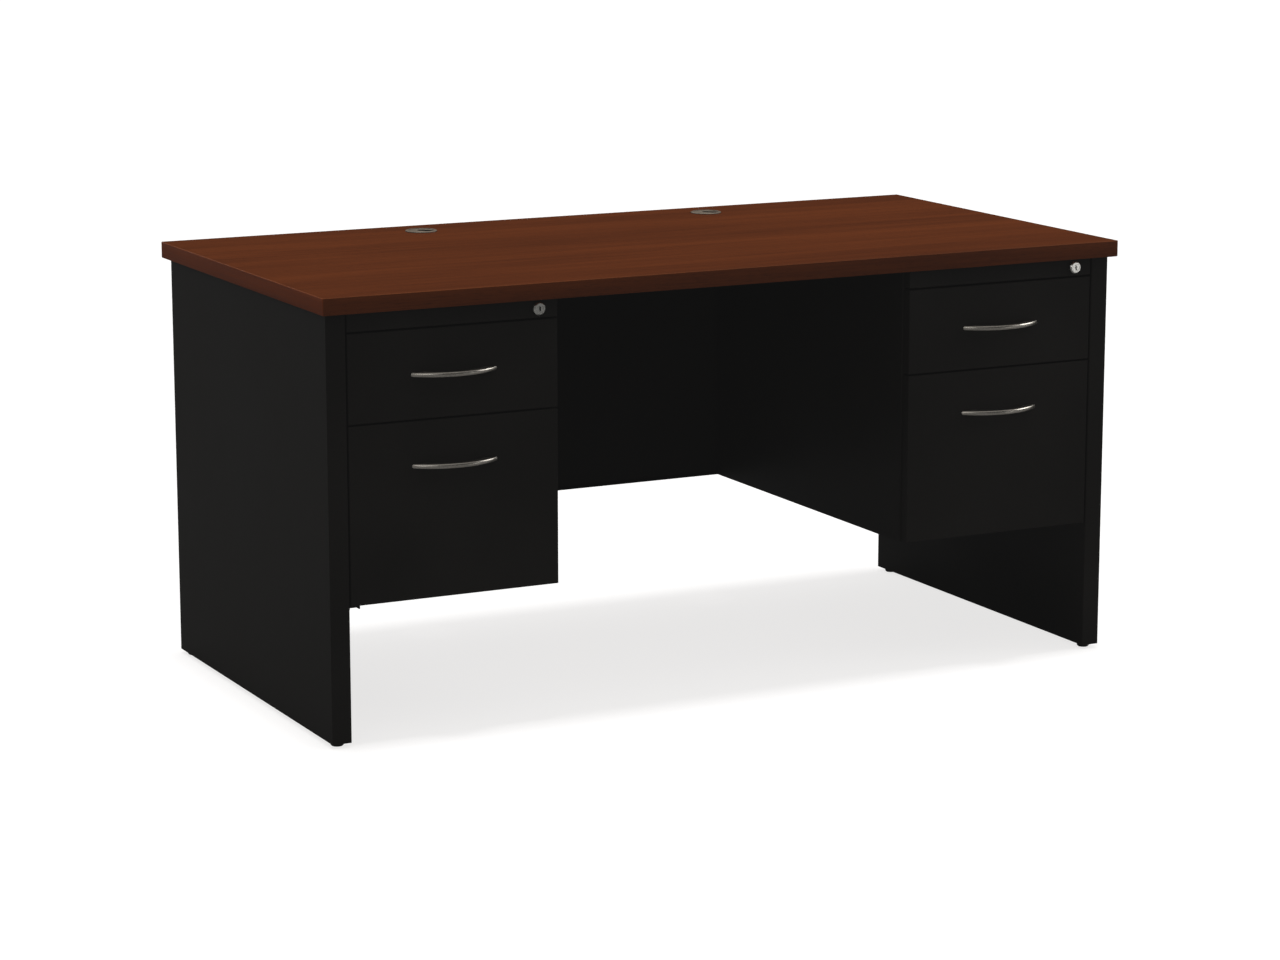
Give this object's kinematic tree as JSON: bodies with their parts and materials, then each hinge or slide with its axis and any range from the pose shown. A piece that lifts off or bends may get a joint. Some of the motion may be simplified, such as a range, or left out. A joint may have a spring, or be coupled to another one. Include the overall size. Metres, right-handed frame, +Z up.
{
  "type": "teacher desk",
  "caption": "Double-pedestal steel teacher desk with a laminate top, locking box and file drawers on telescopic slides, a modesty panel and cable grommets.",
  "frame": {"origin": "on the floor, under the middle of the worktop", "axes": "+X to the right as seen from the drawer side, +Y towards the modesty panel, +Z up"},
  "size_m": [1.524, 0.7732, 0.7515],
  "materials": {
    "walnut_laminate": "satin walnut wood-grain laminate",
    "edge_vinyl": "satin dark walnut vinyl edge band",
    "black_enamel": "satin black baked enamel on sheet steel",
    "drawer_grey": "black enamel, flatter than the outside",
    "zinc_steel": "bright zinc-plated steel",
    "satin_nickel": "satin nickel on die-cast metal",
    "lock_nickel": "bright nickel plating",
    "grommet_plastic": "moulded dark grey plastic",
    "glide_nylon": "black nylon on a steel stud"
  },
  "bodies": {
    "root": {"work_surface": "walnut_laminate", "edge_band": "edge_vinyl", "top_screws": "zinc_steel", "grommet_liner_left": "grommet_plastic", "grommet_liner_right": "grommet_plastic", "modesty_panel": "black_enamel", "pedestal_ledges": "black_enamel", "frame_screws": "zinc_steel", "slide_standards": "zinc_steel", "glide_nuts": "zinc_steel", "end_panel_left": "black_enamel", "inner_panel_left": "black_enamel", "pedestal_case_left": "black_enamel", "pedestal_floor_left": "black_enamel", "header_rail_left": "black_enamel", "lock_housing_left": "lock_nickel", "slide_cabinet_members_left": "zinc_steel", "end_panel_right": "black_enamel", "inner_panel_right": "black_enamel", "pedestal_case_right": "black_enamel", "pedestal_floor_right": "black_enamel", "header_rail_right": "black_enamel", "lock_housing_right": "lock_nickel", "slide_cabinet_members_right": "zinc_steel"},
    "left_box_drawer": {"left_box_drawer_front": "black_enamel", "left_box_drawer_body": "drawer_grey", "left_box_handle": "satin_nickel", "left_box_handle_screws": "zinc_steel", "left_box_slide_drawer_members": "zinc_steel"},
    "left_box_slide_mid": {"left_box_slide_mid_members": "zinc_steel"},
    "left_file_drawer": {"left_file_drawer_front": "black_enamel", "left_file_drawer_body": "drawer_grey", "left_file_handle": "satin_nickel", "left_file_handle_screws": "zinc_steel", "left_file_slide_drawer_members": "zinc_steel"},
    "left_file_slide_mid": {"left_file_slide_mid_members": "zinc_steel"},
    "lock_left": {"lock_plug_left": "lock_nickel", "lock_cam_left": "zinc_steel"},
    "lock_bar_left": {"lock_bar_left": "zinc_steel"},
    "grommet_cap_left": {"grommet_cap_left": "grommet_plastic"},
    "glide_front_left": {"glide_front_left": "glide_nylon"},
    "glide_rear_left": {"glide_rear_left": "glide_nylon"},
    "right_box_drawer": {"right_box_drawer_front": "black_enamel", "right_box_drawer_body": "drawer_grey", "right_box_handle": "satin_nickel", "right_box_handle_screws": "zinc_steel", "right_box_slide_drawer_members": "zinc_steel"},
    "right_box_slide_mid": {"right_box_slide_mid_members": "zinc_steel"},
    "right_file_drawer": {"right_file_drawer_front": "black_enamel", "right_file_drawer_body": "drawer_grey", "right_file_handle": "satin_nickel", "right_file_handle_screws": "zinc_steel", "right_file_slide_drawer_members": "zinc_steel"},
    "right_file_slide_mid": {"right_file_slide_mid_members": "zinc_steel"},
    "lock_right": {"lock_plug_right": "lock_nickel", "lock_cam_right": "zinc_steel"},
    "lock_bar_right": {"lock_bar_right": "zinc_steel"},
    "grommet_cap_right": {"grommet_cap_right": "grommet_plastic"},
    "glide_front_right": {"glide_front_right": "glide_nylon"},
    "glide_rear_right": {"glide_rear_right": "glide_nylon"}
  },
  "joints": [
    {"name": "left_box_drawer_slide", "type": "slide", "parent": "root", "child": "left_box_drawer", "axis": [0, -1, 0], "range_m": [0, 0.45]},
    {"name": "left_box_slide_mid_slide", "type": "slide", "parent": "root", "child": "left_box_slide_mid", "axis": [0, -1, 0], "range_m": [0, 0.225]},
    {"name": "left_file_drawer_slide", "type": "slide", "parent": "root", "child": "left_file_drawer", "axis": [0, -1, 0], "range_m": [0, 0.6]},
    {"name": "left_file_slide_mid_slide", "type": "slide", "parent": "root", "child": "left_file_slide_mid", "axis": [0, -1, 0], "range_m": [0, 0.3]},
    {"name": "lock_left_turn", "type": "hinge", "parent": "root", "child": "lock_left", "pos_m": [-0.3746, -0.3642, 0.7047], "axis": [0, 1, 0], "range_deg": [0, 90]},
    {"name": "lock_bar_left_slide", "type": "slide", "parent": "root", "child": "lock_bar_left", "axis": [0, 0, -1], "range_m": [0, 0.0099]},
    {"name": "grommet_cap_left_turn", "type": "hinge", "parent": "root", "child": "grommet_cap_left", "pos_m": [-0.293, 0.301, 0.7493], "axis": [0, 0, 1], "continuous": true},
    {"name": "glide_front_left_screw", "type": "slide", "parent": "root", "child": "glide_front_left", "axis": [0, 0, -1], "range_m": [0, 0.012]},
    {"name": "glide_rear_left_screw", "type": "slide", "parent": "root", "child": "glide_rear_left", "axis": [0, 0, -1], "range_m": [0, 0.012]},
    {"name": "right_box_drawer_slide", "type": "slide", "parent": "root", "child": "right_box_drawer", "axis": [0, -1, 0], "range_m": [0, 0.45]},
    {"name": "right_box_slide_mid_slide", "type": "slide", "parent": "root", "child": "right_box_slide_mid", "axis": [0, -1, 0], "range_m": [0, 0.225]},
    {"name": "right_file_drawer_slide", "type": "slide", "parent": "root", "child": "right_file_drawer", "axis": [0, -1, 0], "range_m": [0, 0.6]},
    {"name": "right_file_slide_mid_slide", "type": "slide", "parent": "root", "child": "right_file_slide_mid", "axis": [0, -1, 0], "range_m": [0, 0.3]},
    {"name": "lock_right_turn", "type": "hinge", "parent": "root", "child": "lock_right", "pos_m": [0.6796, -0.3642, 0.7047], "axis": [0, 1, 0], "range_deg": [0, 90]},
    {"name": "lock_bar_right_slide", "type": "slide", "parent": "root", "child": "lock_bar_right", "axis": [0, 0, -1], "range_m": [0, 0.0099]},
    {"name": "grommet_cap_right_turn", "type": "hinge", "parent": "root", "child": "grommet_cap_right", "pos_m": [0.293, 0.301, 0.7493], "axis": [0, 0, 1], "continuous": true},
    {"name": "glide_front_right_screw", "type": "slide", "parent": "root", "child": "glide_front_right", "axis": [0, 0, -1], "range_m": [0, 0.012]},
    {"name": "glide_rear_right_screw", "type": "slide", "parent": "root", "child": "glide_rear_right", "axis": [0, 0, -1], "range_m": [0, 0.012]}
  ],
  "couplings": [
    {"joint": "left_box_slide_mid_slide", "follows": "left_box_drawer_slide", "ratio": 0.5},
    {"joint": "left_file_slide_mid_slide", "follows": "left_file_drawer_slide", "ratio": 0.5},
    {"joint": "lock_left_turn", "follows": "lock_bar_left_slide", "rad_per_m": 158.67},
    {"joint": "right_box_slide_mid_slide", "follows": "right_box_drawer_slide", "ratio": 0.5},
    {"joint": "right_file_slide_mid_slide", "follows": "right_file_drawer_slide", "ratio": 0.5},
    {"joint": "lock_right_turn", "follows": "lock_bar_right_slide", "rad_per_m": 158.67}
  ]
}
